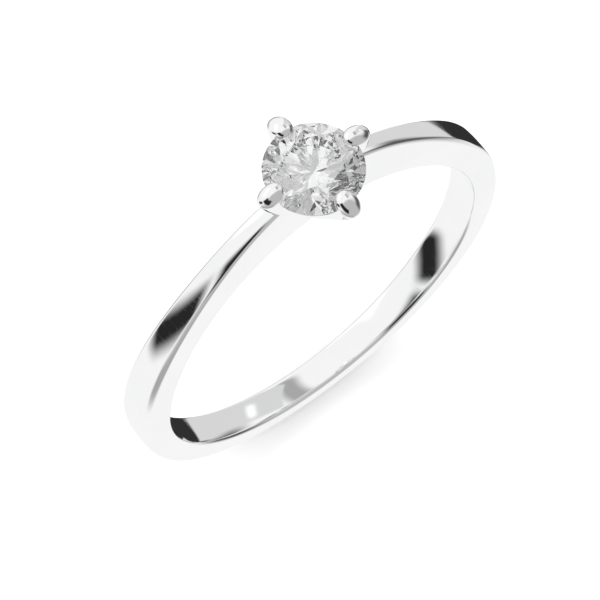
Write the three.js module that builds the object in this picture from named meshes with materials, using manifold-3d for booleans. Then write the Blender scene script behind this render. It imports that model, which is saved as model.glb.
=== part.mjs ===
// Solitaire engagement ring: a tapered white-gold shank whose shoulders rise to a
// four-claw head that holds one round brilliant stone.
//
// Millimetres, +Z up. The ring stands upright on the middle of its base, which is the origin.
// The finger hole runs along Y and the stone is at the top. Inside this file everything is
// measured from the centre of the finger hole, and the last group lifts the ring to its base.
import * as THREE from 'three';
import { LoftGeometry } from 'three/addons/geometries/LoftGeometry.js';
import { mergeVertices } from 'three/addons/utils/BufferGeometryUtils.js';
import Module from 'manifold-3d';

// ---------------------------------------------------------------- driving dimensions

const HOLE_RADIUS = 8.45; // finger size 53, 16.9 mm across
const SOLDER_GAP = 0.02; // clear space between neighbouring pieces

// The shank's width follows a squared cosine from the head to each side and on to the base.
const WIDTH_AT_HEAD = 0.86;
const WIDTH_AT_SIDE = 1.86;
const WIDTH_AT_BASE = 1.47;

// Its thickness is the base's, plus a slight fullness, plus the steep rise of the shoulders.
const BASE_THICKNESS = 1.31;
const FULLNESS = { rise: 0.22, power: 2.5 };
const SHOULDER = { rise: 1.54, power: 14.4 };

// Outer corners are quarter ellipses: crisp at the shoulders, a full dome at the base.
const CREASE = { across: 0.14, deep: 0.19 };
const DOME_DEEP = 0.67; // how much deeper the corner is at the base
const DOME_SPREAD = { across: 1.26, deep: 6.6 }; // powers that take the crease to the dome
const INNER_ROUND = 0.12; // comfort radius on the edges of the finger hole
const FOOT_WIDTH = 0.3; // flat left along the middle of the outer face

const SHANK_STEPS = 72;
const INNER_CORNER_STEPS = 2;
const OUTER_CORNER_STEPS = 4;

// Round brilliant, 0.30 carat.
const STONE = {
  radius: 2.16,
  girdleHeight: 11.92, // middle of the girdle above the hole's centre
  girdle: 0.1,
  table: 0.57, // of the diameter
  crownAngle: 34.5,
  pavilionAngle: 40.8,
  star: 0.52, // star facets' share of the crown
  lowerHalf: 0.77, // lower girdle facets' share of the pavilion
  turn: 0, // degrees about Z
};

// Claw: a flattened wire that leans outwards and ends in a bead over the girdle.
// Places are [distance from the head's axis, height above the hole's centre].
const CLAW = {
  foot: [0.58, 8.52], // outer line where it meets the side of the shank
  bend: [2.32, 11.06], // outer line where it starts to stand up
  neck: [2.32, 12.02], // middle of the wire inside the bead
  footWidth: 0.8,
  neckWidth: 0.98,
  thickness: 0.76,
  bendLength: 0.28, // from the bend to where the lines of leg and neck would cross
  squareness: 0.6, // of its section: 1 is an ellipse, 0 a rectangle
  steps: 8,
  sides: 14,
};
const BEAD = { centre: [2.27, 12.1], reach: 0.64, halfWidth: 0.5, halfThickness: 0.42, lean: 24 };
const BEAD_STEPS = { round: 20, poleToPole: 14 };

const BRIDGE_TOP = 9.35; // floor of the notch that the head stands in
const BASE_DISC = { radius: 0.6, thickness: 0.42 };
const RAIL = { outerRadius: 1.64, bottom: 10.9, top: 11.3, bevel: 0.05 };
const ROUND_STEPS = 40;
const ABOVE_HEAD = 14; // a height clear of the whole ring
const BESIDE_HEAD = 6; // a distance from the axis clear of the whole head

const WHITE_GOLD = { color: 0xd9d8d4, roughness: 0.08, metalness: 1.0 };
const DIAMOND = { color: 0xf4f7f8, roughness: 0.0, metalness: 0.0 };

// ---------------------------------------------------------------- solids and booleans

const wasm = await Module();
wasm.setup();

function toSolid(geometry) {
  const bare = new THREE.BufferGeometry();
  bare.setAttribute('position', geometry.getAttribute('position'));
  bare.setIndex(geometry.index);
  const merged = mergeVertices(bare);
  return new wasm.Manifold(new wasm.Mesh({
    numProp: 3,
    vertProperties: merged.attributes.position.array,
    triVerts: new Uint32Array(merged.index.array),
  }));
}

function toGeometry(solid) {
  const mesh = solid.getMesh();
  const geometry = new THREE.BufferGeometry();
  geometry.setAttribute('position', new THREE.BufferAttribute(mesh.vertProperties, 3));
  geometry.setIndex(new THREE.BufferAttribute(mesh.triVerts, 1));
  return geometry;
}

function extrudeAlongY(outline, length) {
  const shape = new THREE.Shape(outline.map(([x, z]) => new THREE.Vector2(x, z)));
  const geometry = new THREE.ExtrudeGeometry(shape, { depth: length, bevelEnabled: false });
  return geometry.translate(0, 0, -length / 2).rotateX(Math.PI / 2);
}

function latheUpright(profile) {
  const points = profile.map(([radius, height]) => new THREE.Vector2(radius, height));
  return new THREE.LatheGeometry(points, ROUND_STEPS).rotateX(Math.PI / 2);
}

const radians = THREE.MathUtils.degToRad;

// ---------------------------------------------------------------- shank

// Width and thickness of the shank, and the size of its outer corners, at an angle from the head.
function shankSize(angle) {
  const down = (1 - Math.cos(angle)) / 2; // 0 at the head, 1 at the base
  const up = 1 - down;
  const widthAtEnd = Math.cos(angle) > 0 ? WIDTH_AT_HEAD : WIDTH_AT_BASE;
  const width = WIDTH_AT_SIDE + (widthAtEnd - WIDTH_AT_SIDE) * Math.cos(angle) ** 2;
  const thickness = BASE_THICKNESS + FULLNESS.rise * up ** FULLNESS.power
    + SHOULDER.rise * up ** SHOULDER.power;
  const domeAcross = (width - FOOT_WIDTH) / 2;
  return {
    width,
    thickness,
    across: CREASE.across + (domeAcross - CREASE.across) * down ** DOME_SPREAD.across,
    deep: CREASE.deep + DOME_DEEP * down ** DOME_SPREAD.deep,
  };
}

// Half of one cross-section, from the inner face round the outer corner: [side, height] pairs.
function halfSection(angle, grow) {
  const size = shankSize(angle);
  const side = size.width / 2 + grow;
  const top = size.thickness + grow;
  const points = [];
  for (let i = 0; i <= INNER_CORNER_STEPS; i++) {
    const turn = (i / INNER_CORNER_STEPS) * Math.PI / 2;
    const out = INNER_ROUND * (1 - Math.sin(turn));
    points.push([side - out, INNER_ROUND * (1 - Math.cos(turn)) - grow]);
  }
  for (let i = 0; i <= OUTER_CORNER_STEPS; i++) {
    const turn = (i / OUTER_CORNER_STEPS) * Math.PI / 2;
    points.push([
      side - size.across * (1 - Math.cos(turn)),
      top - size.deep * (1 - Math.sin(turn)),
    ]);
  }
  return points;
}

function shankLoop(grow = 0) {
  const sections = [];
  for (let i = 0; i <= SHANK_STEPS; i++) {
    const angle = (((i % SHANK_STEPS) + 0.5) / SHANK_STEPS) * 2 * Math.PI;
    const half = halfSection(angle, grow);
    const outline = [...half, ...half.map(([side, height]) => [-side, height]).reverse()];
    sections.push(outline.map(([side, height]) => {
      const radius = HOLE_RADIUS + height;
      return new THREE.Vector3(radius * Math.sin(angle), side, radius * Math.cos(angle));
    }));
  }
  return toSolid(new LoftGeometry(sections));
}

// Distance of the claws' straight outer line from the head's axis, at a height.
function clawLine(height) {
  const share = (height - CLAW.foot[1]) / (CLAW.bend[1] - CLAW.foot[1]);
  return CLAW.foot[0] + (CLAW.bend[0] - CLAW.foot[0]) * share;
}

// The V-shaped notch between the shoulders: its walls follow the left and right claws.
function headNotch(grow = 0) {
  const floor = BRIDGE_TOP + grow;
  const low = clawLine(floor) + SOLDER_GAP - grow;
  const high = clawLine(ABOVE_HEAD) + SOLDER_GAP - grow;
  const outline = [[-low, floor], [low, floor], [high, ABOVE_HEAD], [-high, ABOVE_HEAD]];
  return toSolid(extrudeAlongY(outline, 2 * WIDTH_AT_SIDE));
}

function makeShank(grow = 0) {
  return shankLoop(grow).subtract(headNotch(grow));
}

// ---------------------------------------------------------------- stone

// A round brilliant: 1 table, 8 stars, 8 kites, 32 girdle halves and 8 pavilion mains.
function makeStone() {
  const { radius, girdle, girdleHeight } = STONE;
  const crown = Math.tan(radians(STONE.crownAngle));
  const pavilion = Math.tan(radians(STONE.pavilionAngle));
  const eighth = Math.PI / 4;
  const narrow = Math.cos(eighth / 2);
  const tableRadius = STONE.table * radius;
  const starRadius = tableRadius * narrow + STONE.star * (radius - tableRadius * narrow);
  const lowerRadius = (1 - STONE.lowerHalf) * radius;
  const top = girdleHeight + girdle / 2;
  const bottom = girdleHeight - girdle / 2;
  const vertex = (r, step, z) => {
    const angle = radians(STONE.turn) + step * eighth;
    return new THREE.Vector3(r * Math.cos(angle), r * Math.sin(angle), z);
  };
  const triangles = [];
  const face = (...corners) => {
    for (let i = 2; i < corners.length; i++) triangles.push(corners[0], corners[i - 1], corners[i]);
  };
  const table = (k) => vertex(tableRadius, k, top + (radius - tableRadius) * crown);
  const star = (k) => vertex(starRadius, k + 0.5, top + (radius - starRadius * narrow) * crown);
  const upper = (k) => vertex(radius, k, top);
  const lower = (k) => vertex(radius, k, bottom);
  const half = (k) => vertex(lowerRadius, k + 0.5, bottom - (radius - lowerRadius * narrow) * pavilion);
  const culet = new THREE.Vector3(0, 0, bottom - radius * pavilion);
  face(...[0, 1, 2, 3, 4, 5, 6, 7].map(table));
  for (let k = 0; k < 8; k++) {
    face(table(k), star(k), table(k + 1)); // star
    face(table(k), star(k - 1), upper(k), star(k)); // kite
    face(star(k), upper(k), upper(k + 0.5)); // upper girdle pair
    face(star(k), upper(k + 0.5), upper(k + 1));
    face(upper(k), lower(k), lower(k + 0.5), upper(k + 0.5)); // girdle
    face(upper(k + 0.5), lower(k + 0.5), lower(k + 1), upper(k + 1));
    face(half(k), lower(k + 0.5), lower(k)); // lower girdle pair
    face(half(k), lower(k + 1), lower(k + 0.5));
    face(half(k - 1), half(k), lower(k)); // pavilion main, outer half
    face(half(k - 1), culet, half(k)); // pavilion main, inner half
  }
  return new THREE.BufferGeometry().setFromPoints(triangles);
}

// The round space that the stone needs, a gap larger all round.
function stoneSpace() {
  const { radius, girdle, girdleHeight } = STONE;
  const crown = Math.tan(radians(STONE.crownAngle));
  const pavilion = Math.tan(radians(STONE.pavilionAngle));
  const wide = radius + SOLDER_GAP;
  const tableRadius = STONE.table * radius;
  const top = girdleHeight + girdle / 2 + SOLDER_GAP;
  const bottom = girdleHeight - girdle / 2 - SOLDER_GAP;
  const tableTop = top + (wide - tableRadius) * crown;
  return toSolid(latheUpright([
    [0, bottom - wide * pavilion],
    [wide, bottom],
    [wide, top],
    [tableRadius, tableTop],
    [0, tableTop],
  ]));
}

// ---------------------------------------------------------------- head

// The small disc that the four claws are gathered on, standing on the shank's bridge.
function baseDisc(grow = 0) {
  const bottom = BRIDGE_TOP + SOLDER_GAP - grow;
  const top = bottom + BASE_DISC.thickness + 2 * grow;
  const radius = BASE_DISC.radius + grow;
  return toSolid(latheUpright([[0, bottom], [radius, bottom], [radius, top], [0, top]]));
}

// The bearing rail that is let into the claws' inner sides, with the stone's seat on its top.
function bearingRail(grow = 0) {
  const pavilion = Math.tan(radians(STONE.pavilionAngle));
  const stoneBottom = STONE.girdleHeight - STONE.girdle / 2 - 2 * SOLDER_GAP;
  const seat = (height) => STONE.radius - (stoneBottom - height) / pavilion;
  const outer = RAIL.outerRadius + grow;
  const bottom = RAIL.bottom - grow;
  const top = RAIL.top + grow;
  const inner = seat(RAIL.bottom + (RAIL.top - RAIL.bottom) / 2) - grow;
  return toSolid(latheUpright([
    [inner, bottom],
    [outer - RAIL.bevel, bottom],
    [outer, bottom + RAIL.bevel],
    [outer, top - RAIL.bevel],
    [outer - RAIL.bevel, top],
    [seat(top) + grow, top],
    [inner, (RAIL.bottom + RAIL.top) / 2],
    [inner, bottom],
  ]));
}

// The wire of a claw, leaning out along +X: a loft of flattened rounds along its middle line.
function clawWire() {
  const [footX, footZ] = CLAW.foot;
  const [bendX, bendZ] = CLAW.bend;
  const outward = new THREE.Vector2(bendZ - footZ, footX - bendX).normalize();
  const inset = ([x, z]) => new THREE.Vector3(
    x - outward.x * CLAW.thickness / 2,
    0,
    z - outward.y * CLAW.thickness / 2,
  );
  const foot = inset(CLAW.foot);
  const bend = inset(CLAW.bend);
  const neck = new THREE.Vector3(CLAW.neck[0], 0, CLAW.neck[1]);
  const leg = bend.clone().sub(foot).normalize();
  const corner = bend.clone().addScaledVector(leg, CLAW.bendLength);
  const spine = new THREE.CurvePath();
  spine.add(new THREE.LineCurve3(foot, bend));
  spine.add(new THREE.QuadraticBezierCurve3(bend, corner, neck));
  const sections = [];
  for (let i = 0; i <= CLAW.steps; i++) {
    const middle = spine.getPointAt(i / CLAW.steps);
    const along = spine.getTangentAt(i / CLAW.steps);
    const out = new THREE.Vector3(along.z, 0, -along.x);
    const width = THREE.MathUtils.lerp(CLAW.footWidth, CLAW.neckWidth, i / CLAW.steps);
    sections.push(flattenedRound(middle, out, CLAW.thickness / 2, width / 2));
  }
  return toSolid(new LoftGeometry(sections, { capStart: true, capEnd: true }));
}

// Points of a flattened round that is square-ish at its corners, round a middle point.
function flattenedRound(middle, out, halfThickness, halfWidth) {
  const points = [];
  for (let i = 0; i < CLAW.sides; i++) {
    const turn = (i / CLAW.sides) * 2 * Math.PI;
    const soften = (value) => Math.sign(value) * Math.abs(value) ** CLAW.squareness;
    const point = middle.clone().addScaledVector(out, halfThickness * soften(Math.cos(turn)));
    point.y += halfWidth * soften(Math.sin(turn));
    points.push(point);
  }
  return points;
}

// The bead that closes over the girdle.
function clawBead() {
  const bead = new THREE.SphereGeometry(1, BEAD_STEPS.round, BEAD_STEPS.poleToPole);
  bead.scale(BEAD.reach, BEAD.halfWidth, BEAD.halfThickness);
  bead.rotateY(radians(BEAD.lean));
  bead.translate(BEAD.centre[0], 0, BEAD.centre[1]);
  return toSolid(bead);
}

// A quarter of the plan from a height up, so that the claws meet in mitres under the stone.
function quarterPlan(lowest) {
  const side = BESIDE_HEAD - SOLDER_GAP;
  const plan = new THREE.Shape([
    new THREE.Vector2(SOLDER_GAP, 0),
    new THREE.Vector2(BESIDE_HEAD, -side),
    new THREE.Vector2(BESIDE_HEAD, side),
  ]);
  const height = ABOVE_HEAD - lowest;
  const prism = new THREE.ExtrudeGeometry(plan, { depth: height, bevelEnabled: false });
  return toSolid(prism.translate(0, 0, lowest));
}

const stone = stoneSpace();
const shankSpace = makeShank(SOLDER_GAP);
const discSpace = baseDisc(SOLDER_GAP);
const railSpace = bearingRail(SOLDER_GAP);

function makeClaw(turn, lowest) {
  const whole = clawWire().add(clawBead()).intersect(quarterPlan(lowest));
  const blank = toSolid(toGeometry(whole).rotateZ(turn));
  return blank.subtract(stone).subtract(shankSpace).subtract(discSpace).subtract(railSpace);
}

// ---------------------------------------------------------------- assembly

function addPiece(group, name, geometry, finish) {
  const mesh = new THREE.Mesh(geometry, new THREE.MeshStandardMaterial(finish));
  mesh.name = name;
  group.add(mesh);
}

const ring = new THREE.Group();
addPiece(ring, 'shank', toGeometry(makeShank()), WHITE_GOLD);
addPiece(ring, 'head_base', toGeometry(baseDisc()), WHITE_GOLD);
addPiece(ring, 'bearing_rail', toGeometry(bearingRail()), WHITE_GOLD);
// The left and right claws stand in the notch; the front and back ones reach down its sides.
const CLAWS = {
  claw_right: { turn: 0, lowest: BRIDGE_TOP + SOLDER_GAP },
  claw_back: { turn: 90, lowest: HOLE_RADIUS },
  claw_left: { turn: 180, lowest: BRIDGE_TOP + SOLDER_GAP },
  claw_front: { turn: 270, lowest: HOLE_RADIUS },
};
for (const [name, { turn, lowest }] of Object.entries(CLAWS)) {
  addPiece(ring, name, toGeometry(makeClaw(radians(turn), lowest)), WHITE_GOLD);
}
addPiece(ring, 'diamond', makeStone(), DIAMOND);

// The outermost facet of the base is centred on the base, so its flat lies below the full radius.
const footFacet = Math.cos(Math.PI / SHANK_STEPS);
ring.position.z = (HOLE_RADIUS + BASE_THICKNESS) * footFacet;

const part = new THREE.Group();
part.add(ring);

export default part;
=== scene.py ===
"""Looks of the solitaire engagement ring: a polished white-gold shank, a four-claw head and a
round brilliant stone, standing upright on a pale floor in soft studio light.

Lengths below are millimetres measured from the centre of the finger hole, as in the CAD source.
X runs across the finger hole, Y along it (minus is the front) and Z up to the stone. Everything
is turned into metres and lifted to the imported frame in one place, place()."""

import math

import bmesh
import bpy
from mathutils import Matrix, Vector


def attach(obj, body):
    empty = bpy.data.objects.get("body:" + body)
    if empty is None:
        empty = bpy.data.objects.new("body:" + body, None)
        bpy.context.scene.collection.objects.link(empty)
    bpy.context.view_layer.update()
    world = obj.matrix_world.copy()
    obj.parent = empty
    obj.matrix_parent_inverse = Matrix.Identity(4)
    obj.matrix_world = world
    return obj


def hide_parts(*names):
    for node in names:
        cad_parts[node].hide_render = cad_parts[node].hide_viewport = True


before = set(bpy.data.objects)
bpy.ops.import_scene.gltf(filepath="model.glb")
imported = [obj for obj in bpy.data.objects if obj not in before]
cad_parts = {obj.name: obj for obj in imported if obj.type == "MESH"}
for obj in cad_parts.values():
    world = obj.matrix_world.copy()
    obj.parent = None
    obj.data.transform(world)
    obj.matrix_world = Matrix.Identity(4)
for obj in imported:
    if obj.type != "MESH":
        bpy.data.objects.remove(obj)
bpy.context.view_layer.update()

# ---------------------------------------------------------------- dimensions, millimetres

HOLE_RADIUS = 8.45
HOLE_HEIGHT = 9.76  # of the hole's centre above the floor

WIDTH_AT_HEAD = 0.86
WIDTH_AT_SIDE = 1.86
WIDTH_AT_BASE = 1.47
BASE_THICKNESS = 1.31
FULLNESS = {"rise": 0.22, "power": 2.5}
SHOULDER = {"rise": 1.54, "power": 14.4}
CREASE = {"across": 0.14, "deep": 0.19}
DOME_DEEP = 0.67
DOME_SPREAD = {"across": 1.26, "deep": 6.6}
INNER_ROUND = 0.12
FOOT_WIDTH = 0.3
# Polishing leaves no face flat: how far each one rises from its edges to its middle.
DOMED = {"outer": 0.05, "inner": 0.05, "wall": 0.03}

STONE = {
    "radius": 2.16,
    "girdle_height": 11.92,
    "girdle": 0.1,
    "table": 0.57,
    "crown_angle": 34.5,
    "pavilion_angle": 40.8,
    "star": 0.52,
    "lower_half": 0.77,
    "turn": 0.0,
}
STONE_BLANK = {"bottom": 8, "top": 15}  # taller than the stone, and cut down to it
STONE_BLANK_STEPS = 128

BRIDGE_TOP = 9.35
ABOVE_HEAD = 14  # a height clear of everything
BESIDE_HEAD = 6  # a distance from the axis clear of the whole head
BASE_DISC = {"radius": 0.6, "thickness": 0.42}
RAIL = {"outer_radius": 1.64, "bottom": 10.9, "top": 11.3, "bevel": 0.05}
RAIL_BEVEL_STEPS = 4
SOLDER_GAP = 0.004

# A claw at three places up its length. Points are (distance from the head's axis, height).
# Round is 1 for a section that is an ellipse, and less for one nearer a rectangle.
CLAW_FOOT = {"outer": (0.58, 8.52), "inner": (-0.08, 8.96), "half_width": 0.425, "round": 0.7}
CLAW_BEND = {"outer": (2.34, 11.12), "inner": (1.70, 11.50), "half_width": 0.45, "round": 0.8}
CLAW_BEAD = {"outer": (2.86, 11.98), "inner": (1.64, 12.42), "half_width": 0.49, "round": 0.95}
SIDE_CLAW_ROUND = {"foot": 0.3, "bend": 0.5}  # of the two in line with the band, flush with it
BEAD_DOME = 0.38  # height of the bead above its widest section
CLAW_LEG_RINGS = 10
CLAW_BEND_RINGS = 14
CLAW_DOME_RINGS = 14
CLAW_SIDES = 48

METRES = 0.001


def place(x, y, z):
    """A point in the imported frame, in metres."""
    return Vector((x, y, z + HOLE_HEIGHT)) * METRES


# ---------------------------------------------------------------- mesh helpers


def new_object(name, mesh):
    obj = bpy.data.objects.new(name, mesh)
    bpy.context.scene.collection.objects.link(obj)
    return obj


def from_bmesh(name, bm):
    bmesh.ops.recalc_face_normals(bm, faces=bm.faces)
    mesh = bpy.data.meshes.new(name)
    bm.to_mesh(mesh)
    bm.free()
    return new_object(name, mesh)


def bridge_rings(bm, rings, cyclic):
    """Faces between rings of the same number of points."""
    rows = [[bm.verts.new(point) for point in ring] for ring in rings]
    if cyclic:
        rows.append(rows[0])
    for near, far in zip(rows, rows[1:]):
        for i in range(len(near)):
            j = (i + 1) % len(near)
            bm.faces.new((near[i], near[j], far[j], far[i]))
    return rows


def loft(name, rings, cyclic=False):
    bm = bmesh.new()
    rows = bridge_rings(bm, rings, cyclic)
    if not cyclic:
        bm.faces.new(rows[0])
        bm.faces.new(rows[-1])
    return from_bmesh(name, bm)


def lathe(name, profile, steps=96):
    """A profile of (radius, height) pairs turned about the stone's axis."""
    bm = bmesh.new()
    rings = []
    for radius, height in profile:
        ring = []
        for i in range(steps):
            angle = 2 * math.pi * i / steps
            ring.append(place(radius * math.cos(angle), radius * math.sin(angle), height))
        rings.append(ring)
    bridge_rings(bm, rings + rings[:1], False)
    bmesh.ops.remove_doubles(bm, verts=bm.verts, dist=1e-9)
    return from_bmesh(name, bm)


def prism(name, outline, depth):
    """An outline of (x, z) pairs carried along Y, half its depth to each side."""
    rings = [[place(x, side, z) for x, z in outline] for side in (-depth / 2, depth / 2)]
    return loft(name, rings)


def carve(obj, cutter, operation="DIFFERENCE"):
    """Cuts obj with another object, and keeps the result as its mesh."""
    cut = obj.modifiers.new("cut", "BOOLEAN")
    cut.operation = operation
    cut.solver = "EXACT"
    cut.object = cutter
    bake_modifiers(obj)


def bake_modifiers(obj):
    depsgraph = bpy.context.evaluated_depsgraph_get()
    mesh = bpy.data.meshes.new_from_object(obj.evaluated_get(depsgraph))
    obj.modifiers.clear()
    obj.data = mesh


def shade(obj, crease_angle=32):
    """Smooth shading, kept crisp at edges sharper than an angle."""
    bm = bmesh.new()
    bm.from_mesh(obj.data)
    for face in bm.faces:
        face.smooth = True
    for edge in bm.edges:
        edge.smooth = edge.calc_face_angle(math.pi) < math.radians(crease_angle)
    bm.to_mesh(obj.data)
    bm.free()


def remove(*objects):
    for obj in objects:
        bpy.data.objects.remove(obj)


# ---------------------------------------------------------------- shank

SHANK_STEPS = 360
INNER_FACE_STEPS = 6
INNER_CORNER_STEPS = 5
SIDE_STEPS = 6
OUTER_CORNER_STEPS = 14
OUTER_FACE_STEPS = 8


def shank_size(angle):
    down = (1 - math.cos(angle)) / 2  # 0 at the head, 1 at the base
    up = 1 - down
    width_at_end = WIDTH_AT_HEAD if math.cos(angle) > 0 else WIDTH_AT_BASE
    width = WIDTH_AT_SIDE + (width_at_end - WIDTH_AT_SIDE) * math.cos(angle) ** 2
    thickness = (
        BASE_THICKNESS
        + FULLNESS["rise"] * up ** FULLNESS["power"]
        + SHOULDER["rise"] * up ** SHOULDER["power"]
    )
    dome_across = (width - FOOT_WIDTH) / 2
    across = CREASE["across"] + (dome_across - CREASE["across"]) * down ** DOME_SPREAD["across"]
    deep = CREASE["deep"] + DOME_DEEP * down ** DOME_SPREAD["deep"]
    return width / 2, thickness, across, deep, down


def half_section(angle):
    """From the middle of the inner face, round one side, to the middle of the outer face."""
    side, thickness, across, deep, down = shank_size(angle)
    points = []
    for i in range(INNER_FACE_STEPS):
        points.append(((side - INNER_ROUND) * i / INNER_FACE_STEPS, 0))
    for i in range(INNER_CORNER_STEPS + 1):
        turn = math.pi / 2 * i / INNER_CORNER_STEPS
        out = side - INNER_ROUND * (1 - math.sin(turn))
        points.append((out, INNER_ROUND * (1 - math.cos(turn))))
    wall = thickness - deep - INNER_ROUND
    for i in range(1, SIDE_STEPS):
        points.append((side, INNER_ROUND + wall * i / SIDE_STEPS))
    for i in range(OUTER_CORNER_STEPS + 1):
        turn = math.pi / 2 * i / OUTER_CORNER_STEPS
        out = side - across * (1 - math.cos(turn))
        points.append((out, thickness - deep * (1 - math.sin(turn))))
    for i in range(1, OUTER_FACE_STEPS + 1):
        points.append(((side - across) * (1 - i / OUTER_FACE_STEPS), thickness))
    return [crowned(*point, side, thickness, down) for point in points]


def bulge(rise, half_width, across):
    """How far a domed face stands over a flat one: up at its middle, down at its edges."""
    return rise * (0.5 - (across / half_width) ** 2)


def crowned(across, height, side, thickness, down):
    """Moves a point of the flat-faced section so that its faces are slightly domed.

    Down is 0 at the head and 1 at the base, where the outer face's middle stays on the floor."""
    outer = bulge(DOMED["outer"], side, across)
    outer -= bulge(DOMED["outer"], side, 0) * down
    inner = bulge(DOMED["inner"], side, across)
    wall = bulge(DOMED["wall"], thickness / 2, height - thickness / 2)
    share = height / thickness
    return across + wall * across / side, height + outer * share - inner * (1 - share)


def section_ring(angle):
    half = half_section(angle)
    other_half = [(-across, height) for across, height in half[-2:0:-1]]
    ring = []
    for across, height in half + other_half:
        radius = HOLE_RADIUS + height
        ring.append(place(radius * math.sin(angle), across, radius * math.cos(angle)))
    return ring


def claw_middle(height):
    """How far out the middle line of a claw's leg is at a height."""
    foot, bend = [(Vector(at["outer"]) + Vector(at["inner"])) / 2 for at in (CLAW_FOOT, CLAW_BEND)]
    return foot.x + (bend.x - foot.x) * (height - foot.y) / (bend.y - foot.y)


def make_shank():
    rings = [section_ring(2 * math.pi * (i + 0.5) / SHANK_STEPS) for i in range(SHANK_STEPS)]
    shank = loft("ring_shank", rings, cyclic=True)
    low, high = claw_middle(BRIDGE_TOP), claw_middle(ABOVE_HEAD)
    outline = [(-low, BRIDGE_TOP), (low, BRIDGE_TOP), (high, ABOVE_HEAD), (-high, ABOVE_HEAD)]
    notch = prism("notch", outline, 2 * WIDTH_AT_SIDE)
    carve(shank, notch)
    remove(notch)
    return shank


# ---------------------------------------------------------------- stone


def make_stone():
    """A round brilliant, cut from a round blank by one plane per facet."""
    radius = STONE["radius"]
    crown = math.radians(STONE["crown_angle"])
    pavilion = math.radians(STONE["pavilion_angle"])
    top = STONE["girdle_height"] + STONE["girdle"] / 2
    bottom = STONE["girdle_height"] - STONE["girdle"] / 2
    eighth = math.pi / 4
    narrow = math.cos(eighth / 2)
    table_radius = STONE["table"] * radius
    table_height = top + (radius - table_radius) * math.tan(crown)
    star_radius = table_radius * narrow + STONE["star"] * (radius - table_radius * narrow)
    star_height = top + (radius - star_radius * narrow) * math.tan(crown)
    half_radius = (1 - STONE["lower_half"]) * radius
    half_height = bottom - (radius - half_radius * narrow) * math.tan(pavilion)

    def around(r, step, z):
        angle = math.radians(STONE["turn"]) + step * eighth
        return Vector((r * math.cos(angle), r * math.sin(angle), z))

    cuts = [(around(0, 0, table_height), Vector((0, 0, 1)))]

    def cut_through(a, b, c):
        normal = (b - a).cross(c - a).normalized()
        if normal.dot(a - Vector((0, 0, STONE["girdle_height"]))) < 0:
            normal.negate()
        cuts.append((a, normal))

    for k in range(8):
        table = around(table_radius, k, table_height)
        star = around(star_radius, k + 0.5, star_height)
        star_before = around(star_radius, k - 0.5, star_height)
        half = around(half_radius, k + 0.5, half_height)
        half_before = around(half_radius, k - 0.5, half_height)
        culet = Vector((0, 0, bottom - radius * math.tan(pavilion)))
        cut_through(table, star, around(table_radius, k + 1, table_height))
        cut_through(table, star, star_before)
        cut_through(half, half_before, culet)
        for step in (k, k + 1):
            middle = k + 0.5
            cut_through(star, around(radius, step, top), around(radius, middle, top))
            cut_through(half, around(radius, step, bottom), around(radius, middle, bottom))

    low, high = STONE_BLANK["bottom"], STONE_BLANK["top"]
    profile = [(0, low), (radius, low), (radius, high), (0, high)]
    blank = lathe("diamond_cut", profile, STONE_BLANK_STEPS)
    bm = bmesh.new()
    bm.from_mesh(blank.data)
    for point, normal in cuts:
        geometry = bm.verts[:] + bm.edges[:] + bm.faces[:]
        bmesh.ops.bisect_plane(
            bm, geom=geometry, dist=1e-9, plane_co=place(*point), plane_no=normal, clear_outer=True
        )
        rim = [edge for edge in bm.edges if edge.is_boundary]
        if rim:
            bmesh.ops.contextual_create(bm, geom=rim)
    bmesh.ops.recalc_face_normals(bm, faces=bm.faces)
    bm.to_mesh(blank.data)
    bm.free()
    return blank


# ---------------------------------------------------------------- head


def stone_space():
    """The round space the stone sits in, a gap larger all round."""
    crown = math.tan(math.radians(STONE["crown_angle"]))
    pavilion = math.tan(math.radians(STONE["pavilion_angle"]))
    wide = STONE["radius"] + SOLDER_GAP
    table_radius = STONE["table"] * STONE["radius"]
    top = STONE["girdle_height"] + STONE["girdle"] / 2 + SOLDER_GAP
    bottom = STONE["girdle_height"] - STONE["girdle"] / 2 - SOLDER_GAP
    table_top = top + (wide - table_radius) * crown
    profile = [(0, bottom - wide * pavilion), (wide, bottom), (wide, top)]
    profile += [(table_radius, table_top), (0, table_top)]
    return lathe("stone_space", profile)


def make_base_disc(name, grow=0.0):
    """The disc that the claws are gathered on, standing on the shank's bridge."""
    bottom = BRIDGE_TOP + SOLDER_GAP - grow
    top = bottom + BASE_DISC["thickness"] + 2 * grow
    radius = BASE_DISC["radius"] + grow
    return lathe(name, [(0, bottom), (radius, bottom), (radius, top), (0, top)])


def make_rail(name, grow=0.0):
    """The ring let into the claws' inner sides, with the stone's seat on its top."""
    pavilion = math.tan(math.radians(STONE["pavilion_angle"]))
    stone_bottom = STONE["girdle_height"] - STONE["girdle"] / 2 - 2 * SOLDER_GAP
    bottom, top = RAIL["bottom"] - grow, RAIL["top"] + grow
    middle = (RAIL["bottom"] + RAIL["top"]) / 2
    inner = STONE["radius"] - (stone_bottom - middle) / pavilion - grow
    seat = STONE["radius"] - (stone_bottom - top) / pavilion + grow
    outer, bevel = RAIL["outer_radius"] + grow, RAIL["bevel"]
    profile = [(inner, middle), (inner, bottom)]
    for centre, start in ((bottom + bevel, -90), (top - bevel, 0)):
        for step in range(RAIL_BEVEL_STEPS + 1):
            turn = math.radians(start + 90 * step / RAIL_BEVEL_STEPS)
            profile.append((outer - bevel + bevel * math.cos(turn), centre + bevel * math.sin(turn)))
    return lathe(name, profile + [(seat, top)])


def bezier(t, a, b, c, d):
    s = 1 - t
    return a * s**3 + b * 3 * s * s * t + c * 3 * s * t * t + d * t**3


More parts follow.
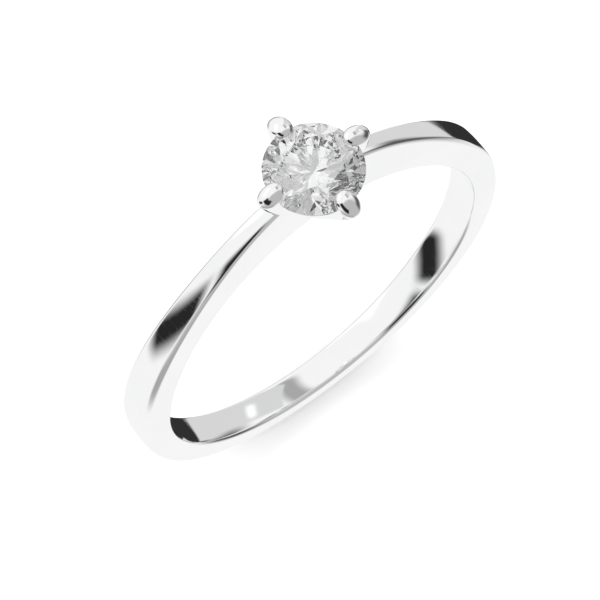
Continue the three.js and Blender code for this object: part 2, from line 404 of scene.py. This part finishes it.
def claw_ring(outer, inner, half_width, roundness):
    """A closed section between an outer and an inner point: an ellipse, or squarer."""
    middle, reach = (outer + inner) / 2, (outer - inner) / 2
    ring = []
    for i in range(CLAW_SIDES):
        turn = 2 * math.pi * i / CLAW_SIDES
        along = math.copysign(abs(math.cos(turn)) ** roundness, math.cos(turn))
        beside = math.copysign(abs(math.sin(turn)) ** roundness, math.sin(turn))
        point = middle + reach * along
        ring.append(place(point.x, half_width * beside, point.y))
    return ring


def between(share, low, high):
    """A claw's width and roundness a share of the way from one place to another."""
    return [low[key] + (high[key] - low[key]) * share for key in ("half_width", "round")]


def make_claw_blank(foot_round, bend_round):
    """One claw leaning out along +X: a straight leg that swells into a bead over the girdle."""
    foot, bend, bead = [
        {**at, "outer": Vector(at["outer"]), "inner": Vector(at["inner"])}
        for at in (CLAW_FOOT, CLAW_BEND, CLAW_BEAD)
    ]
    foot["round"], bend["round"] = foot_round, bend_round
    rings = []
    for i in range(CLAW_LEG_RINGS):
        t = i / CLAW_LEG_RINGS
        sides = [foot[key].lerp(bend[key], t) for key in ("outer", "inner")]
        rings.append(claw_ring(*sides, *between(t, foot, bend)))
    leg = (bend["outer"] - foot["outer"]).normalized()
    lie = (bead["outer"] - bead["inner"]).normalized()
    rise = Vector((-lie.y, lie.x))
    for i in range(CLAW_BEND_RINGS):
        t = i / CLAW_BEND_RINGS
        sides = []
        for key in ("outer", "inner"):
            reach = (bead[key] - bend[key]).length / 3
            start, end = bend[key] + leg * reach, bead[key] - rise * reach
            sides.append(bezier(t, bend[key], start, end, bead[key]))
        rings.append(claw_ring(*sides, *between(t, bend, bead)))
    for i in range(CLAW_DOME_RINGS):
        turn = math.pi / 2 * i / CLAW_DOME_RINGS
        middle = (bead["outer"] + bead["inner"]) / 2 + rise * BEAD_DOME * math.sin(turn)
        reach = (bead["outer"] - bead["inner"]) / 2 * math.cos(turn)
        half_width = bead["half_width"] * math.cos(turn)
        rings.append(claw_ring(middle + reach, middle - reach, half_width, bead["round"]))
    return loft("claw_blank", rings)


def quarter(lowest):
    """A quarter of the plan about +X from a height up, so that claws meet in mitres."""
    side = BESIDE_HEAD - SOLDER_GAP
    outline = [(SOLDER_GAP, 0), (BESIDE_HEAD, -side), (BESIDE_HEAD, side)]
    rings = [[place(x, y, z) for x, y in outline] for z in (lowest, ABOVE_HEAD)]
    return loft("quarter", rings)


def spin(obj, degrees):
    obj.data.transform(Matrix.Rotation(math.radians(degrees), 4, "Z"))


def make_claw(name, turn, lowest, rounds, cutters):
    claw = make_claw_blank(*rounds)
    claw.name = name
    wedge = quarter(lowest)
    carve(claw, wedge, "INTERSECT")
    remove(wedge)
    spin(claw, turn)
    for cutter in cutters:
        carve(claw, cutter)
    return claw


def ride_along(obj, node):
    """Makes an object stand for a node of the CAD, on the one body there is."""
    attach(obj, "root")
    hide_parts(node)


shank = make_shank()
stone = make_stone()
rail = make_rail("seat_ring")
disc = make_base_disc("foot_disc")
spaces = [
    stone_space(),
    make_rail("rail_space", SOLDER_GAP),
    make_base_disc("disc_space", SOLDER_GAP),
]
claws = {}
for node, turn in {"claw_right": 0, "claw_left": 180}.items():
    name = node.replace("claw", "prong")
    rounds = SIDE_CLAW_ROUND.values()
    claws[node] = make_claw(name, turn, BRIDGE_TOP + SOLDER_GAP, rounds, spaces)
    carve(shank, claws[node])
for node, turn in {"claw_back": 90, "claw_front": 270}.items():
    name = node.replace("claw", "prong")
    rounds = CLAW_FOOT["round"], CLAW_BEND["round"]
    claws[node] = make_claw(name, turn, HOLE_RADIUS, rounds, [*spaces, shank])
remove(*spaces)
metal = {"shank": shank, "head_base": disc, "bearing_rail": rail, **claws}
for node, obj in metal.items():
    shade(obj)
    ride_along(obj, node)
ride_along(stone, "diamond")

# ---------------------------------------------------------------- camera

CAMERA = {
    "azimuth": 39.2,  # degrees from the front towards the left
    "elevation": 64.2,
    "distance": 196.9,  # from the finger hole's centre
    "roll": 0.76,
    "lens": 270.65,
    "shift": (-0.0201, -0.0085),  # of the frame's width
}
SENSOR = 36
NEAREST_SEEN = 5
FARTHEST_SEEN = 20000


def make_camera():
    azimuth = math.radians(CAMERA["azimuth"])
    elevation = math.radians(CAMERA["elevation"])
    level = Vector((math.cos(azimuth), -math.sin(azimuth), 0))
    outward = Vector((-math.sin(azimuth), -math.cos(azimuth), 0))
    back = outward * math.cos(elevation) + Vector((0, 0, math.sin(elevation)))
    upright = back.cross(level)
    roll = math.radians(CAMERA["roll"])
    right = level * math.cos(roll) + upright * math.sin(roll)
    up = upright * math.cos(roll) - level * math.sin(roll)
    data = bpy.data.cameras.new("camera")
    data.sensor_width = SENSOR
    data.lens = CAMERA["lens"]
    data.shift_x, data.shift_y = CAMERA["shift"]
    data.clip_start = NEAREST_SEEN * METRES
    data.clip_end = FARTHEST_SEEN * METRES
    camera = new_object("camera", data)
    turn = Matrix((right, up, back)).transposed()
    camera.matrix_world = Matrix.Translation(place(*(back * CAMERA["distance"]))) @ turn.to_4x4()
    bpy.context.scene.camera = camera


make_camera()

# ---------------------------------------------------------------- light


class Nodes:
    """Adds math nodes to a tree, so that formulas read as formulas."""

    def __init__(self, tree):
        self.tree = tree

    def add(self, kind, **settings):
        node = self.tree.nodes.new(kind)
        for name, value in settings.items():
            setattr(node, name, value)
        return node

    def link(self, value, socket):
        if isinstance(value, (int, float)):
            socket.default_value = float(value)
        elif isinstance(value, tuple):
            socket.default_value = value
        else:
            self.tree.links.new(value, socket)

    def math(self, operation, *values):
        node = self.add("ShaderNodeMath", operation=operation)
        for value, socket in zip(values, node.inputs):
            self.link(value, socket)
        return node.outputs[0]

    def blend(self, share, a, b):
        """a where share is 0, b where it is 1."""
        node = self.add("ShaderNodeMix", data_type="FLOAT")
        for value, socket in zip((share, a, b), (node.inputs[0], node.inputs[2], node.inputs[3])):
            self.link(value, socket)
        return node.outputs[0]

    def mix_colour(self, share, a, b):
        node = self.add("ShaderNodeMix", data_type="RGBA")
        for value, socket in zip((share, a, b), (node.inputs[0], node.inputs[6], node.inputs[7])):
            self.link(value, socket)
        return node.outputs[2]

    def noise(self, vector, scale, detail):
        node = self.add("ShaderNodeTexNoise")
        self.link(vector, node.inputs["Vector"])
        self.link(scale, node.inputs["Scale"])
        self.link(detail, node.inputs["Detail"])
        return node.outputs["Fac"]

    def stretched(self, vector, turn, scale):
        """The vector turned (degrees about X, Y and Z) and scaled, for marks that run one way."""
        node = self.add("ShaderNodeMapping")
        node.inputs["Rotation"].default_value = [math.radians(angle) for angle in turn]
        node.inputs["Scale"].default_value = scale
        self.link(vector, node.inputs["Vector"])
        return node.outputs[0]

    def ramp(self, value, low, high):
        """0 at low and 1 at high, smooth in between and level beyond."""
        node = self.add("ShaderNodeMapRange", interpolation_type="SMOOTHSTEP")
        for number, name in ((value, "Value"), (low, "From Min"), (high, "From Max")):
            self.link(number, node.inputs[name])
        return node.outputs[0]


# A white studio, with a few soft-edged cards and flags round the ring for the metal and the stone
# to reflect. Later ones stand in front of earlier ones. Angles are in degrees.
STUDIO_WHITE = 0.95
CARDS = {
    # azimuth from +X towards +Y, height, half width, half height, slant, edge softness, brightness
    "grey room in front": (-90, 30, 80, 60, 0, 40, 0.5),
    "grey wall at left": (-140, -25, 45, 15, 0, 20, 0.4),
    "grey cloth low behind": (85, -25, 35, 12, 0, 20, 0.4),
    "black flag": (-158, 32, 33, 17, -15, 10, 0.02),
    "dark doorway": (-12, 0, 28, 20, -15, 25, 0.1),
    "black strip at left": (160, 0, 8, 17, -35, 10, 0.02),
    "black strip below": (25, -40, 25, 12, -30, 10, 0.03),
    "grey strip above": (30, 55, 20, 8, -25, 10, 0.4),
    "grey card": (28, 10, 14, 38, 0, 3, 0.7),
    "small lamp": (22, 25, 5, 3, 0, 6, 1.2),
    "lamp behind": (115, 38, 26, 10, 0, 10, 1.2),
}
PLAIN_LIGHT = 1.4  # what the floor and the camera see instead
WHITE = (1, 1, 1, 1)


def studio_light():
    """Plain pale to the eye, with the studio's cards in what the ring reflects."""
    world = bpy.data.worlds.new("studio")
    bpy.context.scene.world = world
    world.use_nodes = True
    tree = world.node_tree
    tree.nodes.clear()
    nodes = Nodes(tree)
    direction = nodes.add("ShaderNodeTexCoord").outputs["Generated"]
    parts = nodes.add("ShaderNodeSeparateXYZ")
    nodes.link(direction, parts.inputs[0])
    x, y, z = parts.outputs
    azimuth = nodes.math("DEGREES", nodes.math("ARCTAN2", y, x))
    height = nodes.math("DEGREES", nodes.math("ARCSINE", z))
    level = STUDIO_WHITE
    for card in CARDS.values():
        level = add_card(nodes, azimuth, height, level, *card)
    path = nodes.add("ShaderNodeLightPath")
    sharp = nodes.math("MAXIMUM", path.outputs["Is Glossy Ray"], path.outputs["Is Transmission Ray"])
    level = nodes.blend(sharp, PLAIN_LIGHT, level)
    background = nodes.add("ShaderNodeBackground")
    background.inputs["Color"].default_value = WHITE
    output = nodes.add("ShaderNodeOutputWorld")
    nodes.link(level, background.inputs["Strength"])
    nodes.link(background.outputs[0], output.inputs["Surface"])


def add_card(nodes, azimuth, height, level, at, up, half_width, half_height, slant, soft, bright):
    """The level with one soft-edged, slanted rectangle laid over it."""
    across = nodes.math("WRAP", nodes.math("SUBTRACT", azimuth, at), 180, -180)
    above = nodes.math("SUBTRACT", height, up)
    cosine, sine = math.cos(math.radians(slant)), math.sin(math.radians(slant))
    along = nodes.math(
        "ADD", nodes.math("MULTIPLY", across, cosine), nodes.math("MULTIPLY", above, sine)
    )
    beside = nodes.math(
        "SUBTRACT", nodes.math("MULTIPLY", above, cosine), nodes.math("MULTIPLY", across, sine)
    )
    mask = 1
    for offset, half in ((along, half_width), (beside, half_height)):
        inside = nodes.ramp(nodes.math("ABSOLUTE", offset), half + soft / 2, half - soft / 2)
        mask = nodes.math("MULTIPLY", inside, mask)
    return nodes.blend(mask, level, bright)


FLOOR_REACH = 500
FLOOR_TONES = (0.92, 0.92, 0.92, 1), (0.94, 0.94, 0.94, 1)


def make_floor():
    """A sheet of pale paper, which the ring doesn't mirror."""
    reach = FLOOR_REACH * METRES
    bm = bmesh.new()
    corners = [(-reach, -reach, 0), (reach, -reach, 0), (reach, reach, 0), (-reach, reach, 0)]
    bm.faces.new([bm.verts.new(corner) for corner in corners])
    floor = from_bmesh("floor", bm)
    floor.visible_glossy = False
    floor.visible_transmission = False
    material, nodes, shader, where = new_material("floor_paper")
    grain = nodes.noise(where, 1.5, 5)
    colour = nodes.mix_colour(grain, *FLOOR_TONES)
    nodes.link(colour, shader.inputs["Base Color"])
    nodes.link(nodes.blend(grain, 0.85, 0.95), shader.inputs["Roughness"])
    floor.data.materials.append(material)


# ---------------------------------------------------------------- materials


METAL_TONES = (0.94, 0.945, 0.945, 1), (0.965, 0.965, 0.96, 1)
POLISH = {"clean": 0.015, "smudged": 0.035, "scratched": 0.1}  # roughness
SCRATCH_TURNS = (0, 35, 10), (20, -50, 40), (70, 15, -30)  # each set runs one way
SCRATCH_STRETCH = (28, 0.35, 28)
SCRATCH_DEEP = 0.0002
WAVES_HIGH = 0.004
STONE_TINTS = (0.985, 0.995, 1, 1), (1, 1, 0.995, 1)
STONE_REFRACTION = 2.418
STONE_FILM = 0.02  # roughness where it has been handled


def new_material(name):
    material = bpy.data.materials.new(name)
    material.use_nodes = True
    nodes = Nodes(material.node_tree)
    shader = material.node_tree.nodes["Principled BSDF"]
    where = nodes.add("ShaderNodeTexCoord").outputs["Object"]
    return material, nodes, shader, nodes.stretched(where, (0, 0, 0), (1 / METRES,) * 3)


def white_gold():
    """Mirror polish with a faint waviness, hair scratches from wear and smudges of handling."""
    material, nodes, shader, where = new_material("white_gold")
    shader.inputs["Metallic"].default_value = 1
    tone = nodes.noise(where, 0.4, 3)
    colour = nodes.mix_colour(nodes.ramp(tone, 0.3, 0.7), *METAL_TONES)
    nodes.link(colour, shader.inputs["Base Color"])
    scratches = 0.0
    for turn in SCRATCH_TURNS:
        lines = nodes.noise(nodes.stretched(where, turn, SCRATCH_STRETCH), 1, 2)
        scratches = nodes.math("MAXIMUM", nodes.ramp(lines, 0.66, 0.74), scratches)
    smudges = nodes.ramp(nodes.noise(where, 0.9, 4), 0.4, 0.75)
    roughness = nodes.blend(smudges, POLISH["clean"], POLISH["smudged"])
    roughness = nodes.blend(scratches, roughness, POLISH["scratched"])
    nodes.link(roughness, shader.inputs["Roughness"])
    waves = nodes.math("MULTIPLY", nodes.noise(where, 0.5, 1), WAVES_HIGH)
    relief = nodes.math("SUBTRACT", waves, nodes.math("MULTIPLY", scratches, SCRATCH_DEEP))
    bump = nodes.add("ShaderNodeBump")
    bump.inputs["Distance"].default_value = METRES
    nodes.link(relief, bump.inputs["Height"])
    nodes.link(bump.outputs[0], shader.inputs["Normal"])
    return material


def diamond():
    """Clear, with a film of handling here and there that softens a facet a little."""
    material, nodes, shader, where = new_material("diamond")
    shader.inputs["Transmission Weight"].default_value = 1
    shader.inputs["IOR"].default_value = STONE_REFRACTION
    clarity = nodes.ramp(nodes.noise(where, 1.1, 2), 0.35, 0.65)
    colour = nodes.mix_colour(clarity, *STONE_TINTS)
    nodes.link(colour, shader.inputs["Base Color"])
    film = nodes.ramp(nodes.noise(where, 1.6, 4), 0.55, 0.8)
    nodes.link(nodes.blend(film, 0.0, STONE_FILM), shader.inputs["Roughness"])
    return material


studio_light()
make_floor()
gold = white_gold()
for obj in metal.values():
    obj.data.materials.clear()
    obj.data.materials.append(gold)
stone.data.materials.clear()
stone.data.materials.append(diamond())

scene = bpy.context.scene
scene.view_settings.view_transform = "Standard"
# A brilliant passes light from facet to facet many times before it lets it out.
scene.cycles.max_bounces = 24
scene.cycles.transmission_bounces = 20
scene.cycles.glossy_bounces = 12
